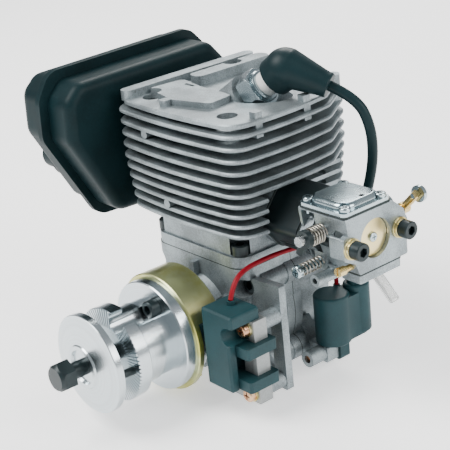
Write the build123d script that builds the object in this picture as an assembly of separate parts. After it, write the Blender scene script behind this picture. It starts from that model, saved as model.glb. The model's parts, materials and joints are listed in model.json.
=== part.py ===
from build123d import *
import math
import os

# Single-cylinder two-stroke petrol engine. Millimetres, +Z up.
# The crankshaft runs along Y with the propeller at -Y; the carburettor is at +X, the silencer at -X.
# Pieces are drawn about the crossing of crankshaft and bore, then moved so that the rear
# mounting face lies on y = 0.

# driving sizes
STROKE = 31.0
BORE = 43.0
ROD = 52.0
SHAFT_D = 15.0
REAR = 36.0
BEARING_W = 11.0
BEARING_R = 17.5
GAP = 0.05

# crankcase
CASE_R = 29.5
WALL = 4.5
WEB_R = CASE_R - WALL - 1.5
CHAMBER_W = 18.0
SPLIT_R = 34.0
SPLIT_T = 5.0
GASKET = 0.4
NOSE_Y = -38.0
DECK_Z = 31.0
DECK_X = 33.5
DECK_Y = 31.5
STUD_X = 28.0
STUD_Y = 26.0
STUD_IN = 5.6
CASE_BOLT_X = 30.5
CASE_BOLT_Z = 21.0
MOUNT_X = 44.0
MOUNT_Z = 44.0

# cylinder
BASE_GASKET = 0.5
FIN_X = 46.0
FIN_FRONT = 38.0
FIN_REAR = 50.0
FIN_T = 2.0
FIN_TOP = 100.4
FIN_PITCH = (5.8, 5.2)
TOP_Z = 106.0
ROOF_Z = 98.5
SQUISH_Z = 92.0
BARREL_R = 27.0
SPIGOT = 4.5
LINER = 3.0
INTAKE_Z = 52.5
INTAKE_FACE = 38.0
PASSAGE_R = 8.5
EXHAUST_Z = 68.0
EXHAUST_FACE = 41.0

# piston
PISTON_H = 24.0
PISTON_L = 36.0
PIN_D = 11.0
PIN_HALF = BORE / 2 - 4.0
CLIP_Y = PIN_HALF + 0.1
CLIP_T = 1.0
CRANK_PIN_R = 4.6
RUN = 0.06

# front end
FLANGE_Y = -64.0
FLANGE_R = 27.8
FLANGE_T = 5.5
CUP_R = 30.0
CUP_REAR = -41.0
DRIVER_FRONT = -88.5
DRIVER_R = 23.5
DRIVER_T = 7.5
HUB_BOLT_R = 20.5
WASHER_Y = -101.5
WASHER_R = 24.7
WASHER_T = 3.5
HEAD_Y = -120.0

# magneto
COIL_X = 49.0
COIL_Z = (11.5, -22.5)
CORE_Y = -44.0
CORE_T = 8.0
FLANGE_H = 5.5
FRAME_Y = -26.0
FRAME_T = 4.0

# carburettor
CARB_X = 62.0
CARB_FRONT = 92.0
CARB_Z = 53.0
CARB_BOLT = 31.0
CHOKE_R = 9.3
THROTTLE_X = 77.0
THROTTLE_Z = 58.2
THROTTLE_R = 6.3
SHAFT_R = 2.4
LEFT_Y = -CARB_BOLT / 2 - 2.7
RIGHT_Y = CARB_BOLT / 2 + 5.1
IDLE_X = 70.0
IDLE_Z = 40.5
NIPPLE_X = 75.5
NIPPLE_Z = 35.6
CHOKE_X = 89.0
COVER_AT = (77.0, -3.2)
METER_AT = (73.0, 5.0)
SPIGOT_AT = (80.0, 8.5)
ARM_PIVOT = (88.5, 59.3)
ARM_TIP = (95.8, 66.9)
ARM_Y = 22.6
SWIVEL = (78.0, 48.2)
PLATE_Y = 12.3
NEEDLE_X, NEEDLE_Z = 88.5, 42.5
PIN_AT = (16.5, -3.0)
PIN_R = 2.0

# ignition
HT_X = 47.0
HT_Y = 12.5
HT_FOOT_Y = 19.0
TOWER_X = 50.0
TOWER_Y = 27.0
LEAD_D = 5.0
PLUG_AT = (12.2, 1.8, 105.2)
PLUG_TILT = 54.0
PLUG_TURN = 20.0

# silencer
BOX_X = (-FIN_X - 46.0, -FIN_X - 22.0, -FIN_X - 2.0)
OUTLET = (-38.0, 66.0)

HALF = STROKE / 2
UP = (Align.CENTER, Align.CENTER, Align.MIN)
CROWN = HALF + ROD + PISTON_H


def block(x0, x1, y0, y1, z0, z1):
    return Pos((x0 + x1) / 2, (y0 + y1) / 2, (z0 + z1) / 2) * Box(x1 - x0, y1 - y0, z1 - z0)


def rod_x(y, z, x0, x1, r):
    return Pos((x0 + x1) / 2, y, z) * Rot(0, 90, 0) * Cylinder(r, x1 - x0)


def rod_y(x, z, y0, y1, r):
    return Pos(x, (y0 + y1) / 2, z) * Rot(90, 0, 0) * Cylinder(r, y1 - y0)


def rod_z(x, y, z0, z1, r):
    return Pos(x, y, (z0 + z1) / 2) * Cylinder(r, z1 - z0)


def cone_y(x, z, y0, y1, r0, r1):
    return Pos(x, (y0 + y1) / 2, z) * Rot(-90, 0, 0) * Cone(r0, r1, y1 - y0)


def round_block(hx, hy, z0, z1, r, x=0.0, y=0.0):
    return Pos(x, y, z0) * extrude(RectangleRounded(2 * hx, 2 * hy, r), amount=z1 - z0)


def turned_y(points):
    """A profile of (y, radius) points turned about the crankshaft axis."""
    face = make_face(Polyline([(r, y, 0) for y, r in points], close=True))
    return revolve(face, Axis.Y, 360)


def prism_x(points, x0, x1, r=0.0):
    """A (y, z) outline carried from x0 to x1, its corners rounded by r."""
    face = make_face(Polyline([(y, z) for y, z in points], close=True))
    if r:
        face = fillet(face.vertices(), r)
    return Plane((x0, 0, 0), x_dir=(0, 1, 0), z_dir=(1, 0, 0)) * extrude(face, amount=x1 - x0)


def prism_y(points, y0, y1, r=0.0):
    """An (x, z) outline carried from y0 to y1, its corners rounded by r."""
    face = make_face(Polyline([(x, z) for x, z in points], close=True))
    if r:
        face = fillet(face.vertices(), r)
    return Plane((0, y1, 0), x_dir=(1, 0, 0), z_dir=(0, -1, 0)) * extrude(face, amount=y1 - y0)


def prism_z(points, z0, z1, r=0.0):
    """An (x, y) outline carried from z0 to z1, its corners rounded by r."""
    face = make_face(Polyline(points, close=True))
    if r:
        face = fillet(face.vertices(), r)
    return Pos(0, 0, z0) * extrude(face, amount=z1 - z0)


def cap_screw(d, length, head_h, head_r, socket):
    """Socket cap screw along +Z, its seat at z = 0 and its shank below."""
    head = Cylinder(head_r, head_h, align=UP)
    head = chamfer(head.edges().sort_by(Axis.Z)[-1], 0.4)
    shank = Pos(0, 0, -length) * Cylinder(d / 2, length, align=UP)
    hole = Pos(0, 0, head_h - socket * 0.6) * extrude(RegularPolygon(socket / math.sqrt(3), 6), amount=socket)
    return head + shank - hole


def pan_screw(d, length, head_h, head_r):
    """Cross-head pan screw along +Z, its seat at z = 0."""
    head = Cylinder(head_r, head_h, align=UP)
    head = fillet(head.edges().sort_by(Axis.Z)[-1], head_h * 0.45)
    shank = Pos(0, 0, -length) * Cylinder(d / 2, length, align=UP)
    cross = Box(head_r * 1.1, head_r * 0.22, head_h) + Box(head_r * 0.22, head_r * 1.1, head_h)
    return head + shank - Pos(0, 0, head_h) * cross


def together(shapes):
    """Several pieces kept as separate solids of one sub-part."""
    return Compound([solid for shape in shapes for solid in shape.solids()])


def facing(at, axis):
    """Location that carries +Z onto an axis at a point."""
    return Plane(origin=at, z_dir=axis).location


def ring_y(x, z, y0, y1, r0, r1):
    return rod_y(x, z, y0, y1, r1) - rod_y(x, z, y0 - 1, y1 + 1, r0)


def ring_x(y, z, x0, x1, r0, r1):
    return rod_x(y, z, x0, x1, r1) - rod_x(y, z, x0 - 1, x1 + 1, r0)


# crankcase ------------------------------------------------------------------

def case_bolt_places():
    return [(sx * CASE_BOLT_X, sz * CASE_BOLT_Z) for sx in (-1, 1) for sz in (-1, 1)]


def split_outline(y0, y1):
    """Outline shared by both halves and their gasket at the split."""
    disc = rod_y(0, 0, y0, y1, SPLIT_R)
    deck = block(-DECK_X, DECK_X, y0, y1, 8, DECK_Z)
    for x, z in case_bolt_places():
        disc += rod_y(x, z, y0, y1, 6.5)
    return disc + deck


def chamber(y0, y1):
    bore = rod_y(0, 0, y0, y1, CASE_R - WALL)
    return bore + rod_z(0, 0, 0, DECK_Z + 5, BORE / 2 + LINER + 0.3) & block(-60, 60, y0, y1, -60, 60)


def spigot_seat():
    """Counterbore for the foot of the liner, and the relief below it for the lowered piston skirt."""
    low = CROWN - PISTON_L - STROKE - 0.6
    seat = rod_z(0, 0, DECK_Z - SPIGOT - 0.5, DECK_Z + 1, BORE / 2 + LINER + 0.3)
    return seat + rod_z(0, 0, low, DECK_Z, BORE / 2 + 0.6)


def deck(y0, y1):
    solid = round_block(DECK_X, DECK_Y, 13, DECK_Z, 8) & block(-60, 60, y0, y1, 0, 60)
    return solid


def stud_holes(z0, z1, r):
    return [rod_z(sx * STUD_X, sy * STUD_Y, z0, z1, r) for sx in (-1, 1) for sy in (-1, 1)]


def crankcase_front():
    y1 = -GASKET / 2
    body = rod_y(0, 0, -CHAMBER_W - WALL, y1, CASE_R) + split_outline(-SPLIT_T, y1)
    body += deck(-DECK_Y, y1)
    body += cone_y(0, 0, NOSE_Y, -CHAMBER_W - WALL, 19.5, 26.0)
    for turn in (35, 90, 145, 215, 270, 325):
        rib = block(18, 29, NOSE_Y + 3, -CHAMBER_W - WALL, -1.5, 1.5)
        body += Rot(0, turn, 0) * rib
    for x, z in case_bolt_places():
        body += rod_y(x, z, -20, y1, 6.0)
    body += coil_frame()
    body -= chamber(-CHAMBER_W, y1 + 1)
    body -= spigot_seat()
    body -= rod_y(0, 0, -CHAMBER_W - BEARING_W - 0.5, -CHAMBER_W + 1, BEARING_R + GAP)
    body -= rod_y(0, 0, NOSE_Y - 1, 0, 11.0)
    body -= rod_y(0, 0, NOSE_Y - 1, NOSE_Y + 7, 15.0 + GAP)
    for x, z in case_bolt_places():
        body -= rod_y(x, z, -30, 1, 2.5 + GAP) + rod_y(x, z, -45, -20, 4.65)
    for hole in stud_holes(DECK_Z - STUD_IN, DECK_Z + 1, 2.5 + GAP):
        body -= hole
    for z in COIL_Z:
        body -= rod_y(COIL_X, z, -60, FRAME_Y + FRAME_T + 1, 2.0 + GAP)
    return body


def coil_frame():
    """Bracket cast with the front half; two posts carry the magneto core."""
    y1 = FRAME_Y + FRAME_T
    low = COIL_Z[1] - 5
    plate = prism_y([(20, 18), (32, 18.8), (34, 26), (53, 27), (53.5, low), (45.5, low), (45, 4), (39, 4),
                     (36, -6), (20, -6)], FRAME_Y, y1, 1.0)
    foot = prism_y([(24, -12), (46, low), (46, low + 7), (24, -4)], FRAME_Y + 0.5, y1)
    body = plate + foot
    for z in COIL_Z:
        body += rod_y(COIL_X, z, CORE_Y + CORE_T, y1, 4.2)
    return body


def crankcase_rear():
    y0 = GASKET / 2
    body = rod_y(0, 0, y0, CHAMBER_W + WALL, CASE_R) + split_outline(y0, SPLIT_T)
    body += deck(y0, DECK_Y)
    body += cone_y(0, 0, CHAMBER_W + WALL - 0.5, REAR, 27.0, 21.0)
    for sx in (-1, 1):
        for sz in (-1, 1):
            x, z = sx * MOUNT_X / 2, sz * MOUNT_Z / 2
            body += rod_y(x, z, 8, REAR, 6.5)
    for x, z in case_bolt_places():
        body += rod_y(x, z, y0, 16, 6.0)
    lug = prism_y([(20, -14), (38, -27), (49.5, -27), (49.5, -18.6), (37, -18.6), (30, -8)], 5, 12.5, 1.0)
    body += lug + rod_y(HT_X - 2, COIL_Z[1], -4.5, 12.5, 4.2)
    body -= chamber(y0 - 1, CHAMBER_W)
    body -= spigot_seat()
    body -= rod_y(0, 0, CHAMBER_W - 1, CHAMBER_W + BEARING_W + 0.5, BEARING_R + GAP)
    body -= rod_y(0, 0, 0, REAR - 3, 11.0)
    body -= rod_y(HT_X - 2, COIL_Z[1], -6, 20, 2.0 + GAP)
    for sx in (-1, 1):
        for sz in (-1, 1):
            x, z = sx * MOUNT_X / 2, sz * MOUNT_Z / 2
            body -= rod_y(x, z, REAR - 14, REAR + 1, 2.5)
    for x, z in case_bolt_places():
        body -= rod_y(x, z, 0, 14, 2.5 + GAP)
    for hole in stud_holes(DECK_Z - STUD_IN, DECK_Z + 1, 2.5 + GAP):
        body -= hole
    return body


def crankcase_gaskets():
    """Split gasket and cylinder base gasket."""
    y = GASKET / 2
    body = split_outline(-y, y) & block(-80, 80, -1, 1, -80, DECK_Z)
    body -= chamber(-1, 1) + spigot_seat()
    for x, z in case_bolt_places():
        body -= rod_y(x, z, -1, 1, 2.5 + GAP)
    return together([body, cylinder_gasket()])


def crankcase_bolts():
    seat = Plane(origin=(0, 0, 0), z_dir=(0, -1, 0)).location
    screw = cap_screw(5.0, 33, 5.0, 4.25, 4.0)
    return Compound([Pos(x, -20, z) * seat * screw for x, z in case_bolt_places()])


def bearing(y0, y1, inner, outer):
    """Ball bearing: two rings and the balls between them as touching-free solids."""
    mid = (inner + outer) / 2
    ball = (outer - inner) * 0.26
    groove = Pos(0, (y0 + y1) / 2, 0) * Rot(90, 0, 0) * Torus(mid, ball + 0.05)
    rings = ring_y(0, 0, y0, y1, inner, mid - ball * 0.55) + ring_y(0, 0, y0, y1, mid + ball * 0.55, outer)
    rings -= groove
    count = int(2 * math.pi * mid / (ball * 2.35))
    balls = []
    for i in range(count):
        a = 2 * math.pi * i / count
        balls.append(Pos(mid * math.cos(a), (y0 + y1) / 2, mid * math.sin(a)) * Sphere(ball))
    return Compound(list(rings.solids()) + balls)


def main_bearings():
    spans = [(-CHAMBER_W - BEARING_W, -CHAMBER_W), (CHAMBER_W, CHAMBER_W + BEARING_W)]
    return together(bearing(y0, y1, SHAFT_D / 2 + 0.02, BEARING_R) for y0, y1 in spans)


def front_seal():
    return ring_y(0, 0, NOSE_Y, NOSE_Y + 7, SHAFT_D / 2 + 0.03, 15.0)


# cylinder -------------------------------------------------------------------

def fin_plan(inset=0.0):
    """Outline of a cooling fin: bulged sides, one long corner cut at the rear beside the lead."""
    x, f, b = FIN_X - inset, FIN_FRONT - inset, FIN_REAR - inset
    sides = [
        ThreePointArc((-x + 1, -f), (0, -f - 3.0), (x - 1, -f)),
        ThreePointArc((x - 1, -f), (x + 1.2, -6), (x - 2, 24)),
        Line((x - 2, 24), (x - 19, b)),
        Line((x - 19, b), (-x + 4, b)),
        ThreePointArc((-x + 4, b), (-x - 1.2, 4), (-x + 1, -f)),
    ]
    face = make_face(sides)
    return fillet(face.vertices(), 11.0)


def fin_levels():
    levels = [FIN_TOP - FIN_PITCH[0] * i for i in range(5)]
    return levels + [levels[-1] - FIN_PITCH[1] * (i + 1) for i in range(5)]


def one_fin(z, inset=0.0, t=FIN_T):
    fin = Pos(0, 0, z - t / 2) * extrude(fin_plan(inset), amount=t)
    rims = fin.faces().filter_by(Axis.Z)
    return chamfer([e for f in rims for e in f.edges()], t * 0.3)


def plug_axis():
    tilt, turn = math.radians(PLUG_TILT), math.radians(PLUG_TURN)
    return Vector(math.sin(tilt) * math.cos(turn), math.sin(tilt) * math.sin(turn), math.cos(tilt))


def along_plug(d):
    at = Vector(*PLUG_AT) + plug_axis() * d
    return facing(at, plug_axis())


def cylinder():
    z0 = DECK_Z + BASE_GASKET
    body = rod_z(0, 0, z0, ROOF_Z + 5, BARREL_R) + rod_z(0, 0, z0 - SPIGOT, z0 + 1, BORE / 2 + LINER)
    body += round_block(DECK_X, DECK_Y, z0, z0 + 5.5, 9)
    body += round_block(DECK_X - 1.2, DECK_Y - 1.2, z0 + 5, 48, 8.5)
    levels = fin_levels()
    cut_out = block(-80, -31.0, -23, 23, EXHAUST_Z - 9, EXHAUST_Z + 8)
    cut_in = block(INTAKE_FACE - 4.5, 80, -21, 60, 30, INTAKE_Z + 16.5)
    for i, z in enumerate(levels):
        fin = one_fin(z, 0.4 * max(0, i - 4))
        fin -= cut_out
        fin -= cut_in
        body += fin
    body += round_block(30, 30, 96.5, TOP_Z - 2, 12)
    body += head_top()
    body += intake_stub() + exhaust_stub()
    boss = along_plug(-13.5) * Cylinder(11.5, 14.5, align=UP)
    body += boss & block(-60, 60, -60, 60, 90, 130)
    for x, z in ((-20, levels[2] + 3.2), (-8, levels[8] + 2.6)):
        body += rod_y(x, z, -39.5, -34.8, 2.2)
    body -= rod_z(0, 0, z0 - 7, SQUISH_Z, BORE / 2)
    body -= Pos(0, 0, SQUISH_Z - 9.5) * (Sphere(16.0) & Pos(0, 0, 9.5 + 10) * Box(60, 60, 20))
    body -= along_plug(-17) * Cylinder(5.0 + GAP, 17.5, align=UP)
    body -= along_plug(0) * Cylinder(12.4, 30, align=UP)
    body -= block(15, 27.5, -9, 9, 45, 55)
    body -= rod_x(0, INTAKE_Z, 26.5, INTAKE_FACE + 1, PASSAGE_R)
    body -= block(-EXHAUST_FACE - 1, -15, -11, 11, EXHAUST_Z - 6, EXHAUST_Z + 5)
    for sy in (-1, 1):
        body -= block(-8, 8, min(sy * 20.5, sy * 25.0), max(sy * 20.5, sy * 25.0), z0 - 6, 68)
        body -= rod_x(sy * 17.5, EXHAUST_Z, -EXHAUST_FACE - 1, -EXHAUST_FACE + 12, 3.0 + GAP)
        body -= rod_x(sy * CARB_BOLT / 2, CARB_Z, INTAKE_FACE - 11, INTAKE_FACE + 1, 2.5 + GAP)
    for hole in stud_holes(z0 - 1, z0 + 6.5, 2.6):
        body -= hole
    for hole in stud_holes(z0 + 6, TOP_Z + 20, 4.9):
        body -= hole
    return body


def head_top():
    """Raised pattern cast on the top plate."""
    z = TOP_Z - 2.2
    plate = Pos(0, 0, z) * extrude(fin_plan(2.0), amount=2.2)
    plate = chamfer(plate.faces().sort_by(Axis.Z)[-1].edges(), 0.6)
    body = plate
    body += round_block(3.5, 42, TOP_Z - 1, TOP_Z + 4.0, 3.0, -38.5, 6)
    body += round_block(4.5, 24, TOP_Z - 1, TOP_Z + 5.0, 3.5, -25, 22)
    pad = make_face(Polyline([(-33, -24), (-8, -30), (14, -24), (12, -9), (-12, -8), (-31, -4)], close=True))
    body += Pos(0, 0, TOP_Z - 1) * extrude(fillet(pad.vertices(), 3.0), amount=4.0)
    for x, y in ((41.5, -20.5), (41.5, 9.5), (-10.5, -31.5)):
        body += round_block(2.2, 2.2, 97, TOP_Z + 3.0, 0.6, x, y)
    body += rod_z(27, 42, 95, TOP_Z + 2.5, 4.0)
    body -= block(-23, -16, -10, -8.2, TOP_Z + 1.5, TOP_Z + 6)
    return body


def intake_stub():
    face = prism_x(mount_diamond(), INTAKE_FACE - 6, INTAKE_FACE, 4.5)
    duct = rod_x(0, INTAKE_Z, 20, INTAKE_FACE - 5, 13)
    ears = [rod_x(s * CARB_BOLT / 2, CARB_Z, 20, INTAKE_FACE - 5, 4.6) for s in (-1, 1)]
    return face + duct + ears[0] + ears[1]


def mount_diamond(grow=0.0):
    """Six-sided joint outline shared by the cylinder face, insulator and carburettor."""
    w, h = 21.5 + grow, 14.5 + grow
    return [(-w, CARB_Z), (-9, CARB_Z + h), (9, CARB_Z + h), (w, CARB_Z), (9, CARB_Z - h), (-9, CARB_Z - h)]


def exhaust_stub():
    face = block(-EXHAUST_FACE, -EXHAUST_FACE + 5, -22, 22, EXHAUST_Z - 9, EXHAUST_Z + 8)
    duct = block(-EXHAUST_FACE + 2, -20, -14, 14, EXHAUST_Z - 9, EXHAUST_Z + 8)
    ears = block(-EXHAUST_FACE + 2, -26, -22, 22, EXHAUST_Z - 4.5, EXHAUST_Z + 4.5)
    return fillet(face.edges().filter_by(Axis.X), 3.0) + duct + ears


def cylinder_gasket():
    body = round_block(DECK_X, DECK_Y, DECK_Z, DECK_Z + BASE_GASKET, 8)
    body -= rod_z(0, 0, 0, 60, BORE / 2 + LINER + 0.3)
    for sy in (-1, 1):
        body -= block(-8, 8, min(sy * 20, sy * 25.5), max(sy * 20, sy * 25.5), 0, 60)
    for hole in stud_holes(0, 60, 2.6):
        body -= hole
    return body


def cylinder_bolts():
    z = DECK_Z + BASE_GASKET + 6
    screw = cap_screw(5.0, z - DECK_Z + STUD_IN - 0.3, 5.0, 4.25, 4.0)
    return Compound([Pos(sx * STUD_X, sy * STUD_Y, z) * screw for sx in (-1, 1) for sy in (-1, 1)])


# ignition -------------------------------------------------------------------

def spark_plug_shell():
    thread = Pos(0, 0, -12.5) * Cylinder(5.0, 12.5, align=UP)
    seat = Cylinder(7.2, 2.0, align=UP)
    hexagon = Pos(0, 0, 2) * extrude(RegularPolygon(19.0 / math.sqrt(3), 6), amount=7.5)
    hexagon &= Pos(0, 0, 1) * Cone(10.2, 12.4, 4, align=UP) + Pos(0, 0, 5) * Cylinder(12.4, 1.5, align=UP) \
        + Pos(0, 0, 6.5) * Cone(12.4, 9.6, 3.2, align=UP)
    collar = Pos(0, 0, 9) * Cylinder(8.0, 2.2, align=UP)
    collar = chamfer(collar.edges().sort_by(Axis.Z)[-1], 0.6)
    body = thread + seat + hexagon + collar - Pos(0, 0, -13) * Cylinder(3.1, 30, align=UP)
    tip = Pos(4.0, 0, -13.4) * Box(1.2, 2.0, 2.6) + Pos(2.2, 0, -14.6) * Box(4.8, 2.0, 0.9)
    return along_plug(0) * (body + tip)


def spark_plug_insulator():
    nose = Pos(0, 0, -12) * Cylinder(3.1 - GAP, 23.5, align=UP)
    collar = Pos(0, 0, 11.25) * Cylinder(6.2, 3.0, align=UP)
    body = Pos(0, 0, 14.2) * Cone(6.0, 5.0, 12, align=UP)
    stud = Pos(0, 0, 26) * Cylinder(2.5, 7, align=UP)
    pole = Pos(0, 0, -13.4) * Cylinder(0.8, 2.0, align=UP)
    return along_plug(0) * (nose + collar + body + stud + pole)


def spark_plug():
    return together([spark_plug_shell(), spark_plug_insulator()])


def plug_cap():
    """Moulded elbow: a bulb over the plug terminal and a tapering sleeve to the lead."""
    skirt = along_plug(17.0) * Cone(9.4, 9.9, 7.5, align=UP)
    bulb = along_plug(25.0) * Sphere(10.1)
    at = along_plug(26.0).position
    end = Vector(*LEAD_ROUTE[0])
    way = end - at
    sleeve = facing(at, way) * Cone(9.6, 5.6, way.length, align=UP)
    rim = facing(end - way.normalized() * 2.4, way) * Cylinder(6.1, 2.4, align=UP)
    body = skirt + bulb + sleeve + rim
    body -= along_plug(10) * Cylinder(6.35, 16.3, align=UP)
    body -= along_plug(26) * Cylinder(2.5 + GAP, 7.2, align=UP)
    return body - facing(end, Vector(*LEAD_ROUTE[1]) - end) * Cylinder(LEAD_D / 2 + GAP, 5, align=UP)


LEAD_ROUTE = [(50.0, 18.5, 112.0), (61.5, 24.0, 106.5), (66.5, 27.0, 93.0), (66.0, 28.0, 77.0),
              (61.0, 28.0, 60.0), (54.0, 27.5, 42.0), (TOWER_X, TOWER_Y, 26.0), (TOWER_X, TOWER_Y, 12.0)]


def bend_radii(points):
    """Largest tangent arc at each corner that leaves a straight piece on both sides."""
    radii = []
    for a, b, c in zip(points, points[1:], points[2:]):
        u, v = Vector(*b) - Vector(*a), Vector(*c) - Vector(*b)
        half = math.radians(u.get_angle(v)) / 2
        radii.append(0.45 * min(u.length, v.length) / math.tan(half))
    return radii


def tube(points, diameter, label):
    radii = bend_radii(points)
    route = FilletPolyline([Vector(*p) for p in points], radius=radii)
    start = Vector(*points[0])
    way = Vector(*points[1]) - start
    section = Plane(origin=start, z_dir=way) * Circle(diameter / 2)
    solid = sweep(section, path=route)
    share = solid.volume / (math.pi * diameter ** 2 / 4 * route.length)
    bends = [round(r, 1) for r in radii]
    print(label, "length", round(route.length, 1), "radii", bends, "fill", round(share, 4))
    return solid


def ignition_lead():
    return tube(LEAD_ROUTE, LEAD_D, "ignition_lead")


WIRE_D = 2.4
WIRE_ROUTE = [(40.5, -45.0, 24.0), (40.0, -42.0, 31.5), (38.0, -33.0, 34.6), (38.2, -20.0, 35.6),
              (39.0, -6.0, 35.2), (40.0, 8.0, 34.0), (41.6, 18.0, 27.0), (42.0, 21.5, 18.0), (42.0, 21.5, 8.05)]


def signal_wire():
    return tube(WIRE_ROUTE, WIRE_D, "signal_wire")


def ignition_coil():
    """Potted coil: a large and a small drum side by side, one lug and an outlet tower."""
    drum = rod_z(HT_X, HT_Y, -18, 8, 9.0)
    drum = fillet(drum.edges().filter_by(GeomType.CIRCLE), 1.2)
    tower = rod_z(TOWER_X, TOWER_Y, -16, 10, 6.6)
    tower = fillet(tower.edges().filter_by(GeomType.CIRCLE), 1.2)
    web = block(HT_X - 5, HT_X + 8.5, HT_Y, TOWER_Y, -16.5, 6.5)
    spout = rod_z(TOWER_X, TOWER_Y, 5, 12, 4.6)
    foot = block(HT_X - 7, HT_X + 4, 12.6, HT_FOOT_Y, -28, -17)
    foot = fillet(foot.edges().filter_by(Axis.Y), 2.0)
    body = drum + tower + web + spout + foot
    body -= rod_y(HT_X - 2, COIL_Z[1], 0, 30, 2.0 + GAP)
    inlet = Pos(42, 21.5, 6.4) * Cylinder(1.8, 1.6, align=UP)
    return body + inlet & block(0, 90, 0, 60, -40, 12)


def magneto_box():
    """Potted trigger housing beside the flywheel; the core passes through its back."""
    body = block(31.0, 52.5, -56, -39, -18.2, 22) - block(49.0, 60, -60, -39, -20, COIL_Z[0] - 4.6)
    body = fillet(body.edges().filter_by(Axis.Y), 1.5)
    body = chamfer(body.faces().sort_by(Axis.Y)[0].edges(), 1.0)
    body -= rod_y(COIL_X, COIL_Z[0], -60, CORE_Y, 4.6)
    body -= block(COIL_X, 60, -60, CORE_Y, COIL_Z[0] - 4.6, COIL_Z[0] + 4.6)
    body -= block(41.0, 60, -51.8, -30, -20, COIL_Z[0] - 5.5)
    body -= core_shape(GAP)
    body -= cup_space()
    socket = Pos(WIRE_ROUTE[0][0], WIRE_ROUTE[0][1], 21.5) * Cylinder(2.2, 2.5, align=UP)
    body += socket - Pos(WIRE_ROUTE[0][0], WIRE_ROUTE[0][1], 22.0) * Cylinder(1.3, 5)
    return body - (rod_y(COIL_X, COIL_Z[0], CORE_Y + CORE_T, -30, 4.2 + GAP))


def cup_space():
    return rod_y(0, 0, -62, CUP_REAR + 0.5, CUP_R + 0.8)


def core_shape(grow=0.0):
    g = grow
    y0, y1 = CORE_Y - g, CORE_Y + CORE_T + g
    z1, z0 = COIL_Z[0] + 4.5, COIL_Z[1] - 4.5
    limb = block(45.0 - g, 54.0 + g, y0, y1, z0 - g, z1 + g)
    arms = block(28.0, 50, y0, y1, z1 - 9.5 - g, z1 + g) + block(28.0, 50, y0, y1, z0 - g, z0 + 9.5 + g)
    return limb + arms


def magneto_core():
    body = core_shape() - rod_y(0, 0, -70, -20, CUP_R + 0.8)
    for z in COIL_Z:
        body -= rod_y(COIL_X, z, -70, 0, 2.0 + GAP)
    return body


def magneto_coil():
    """The two end flanges of the bobbin, threaded on the upright limb of the core."""
    y0, y1 = -51.5, CORE_Y + CORE_T + 2.6
    low, high = COIL_Z[1] + 5.4, COIL_Z[0] - 5.9
    ends = []
    for z in (low, high - FLANGE_H):
        body = block(41.4, 57.4, y0, y1, z, z + FLANGE_H)
        body = fillet(body.edges().filter_by(Axis.Z), 1.5)
        ends.append(body - core_shape(GAP))
    return together(ends)


def ignition_screws():
    """Three alike pan screws: two through the magneto core, one through the ignition coil's foot."""
    screw = pan_screw(4.0, 22, 2.8, 3.4)
    seats = [facing((COIL_X, CORE_Y - 1.2, z), (0, -1, 0)) for z in COIL_Z]
    seats.append(facing((HT_X - 2, HT_FOOT_Y, COIL_Z[1]), (0, 1, 0)))
    return together(seat * screw for seat in seats)


def magneto_washers():
    return together(ring_y(COIL_X, z, CORE_Y - 1.15, CORE_Y - 0.02, 2.1, 3.9) for z in COIL_Z)


# intake ---------------------------------------------------------------------

def bolt_lines():
    return [(s * CARB_BOLT / 2, CARB_Z) for s in (-1, 1)]


def carb_hole_set(body, x0, x1):
    for y, z in bolt_lines():
        body -= rod_x(y, z, x0, x1, 2.5 + GAP)
    return body


def intake_gaskets():
    """Gaskets on the two faces of the insulator."""
    inner = prism_x(mount_diamond(0.6), INTAKE_FACE, INTAKE_FACE + 0.8, 4.8)
    outer = prism_x(mount_diamond(-1.0), CARB_X - 0.6, CARB_X, 4.0)
    passage = rod_x(0, INTAKE_Z, 0, 90, PASSAGE_R)
    return together(carb_hole_set(body - passage, 0, 90) for body in (inner, outer))


def intake_insulator():
    x0, x1 = INTAKE_FACE + 0.8, CARB_X - 0.6
    body = prism_x(mount_diamond(), x0, x1, 4.5)
    body -= block(x0 + 4, x1 - 4, -30, -12.5, 30, 44) + block(x0 + 4, x1 - 4, 12.5, 30, 30, 44)
    body -= rod_x(0, INTAKE_Z, 0, 90, PASSAGE_R)
    return carb_hole_set(body, 0, 90)


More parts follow.
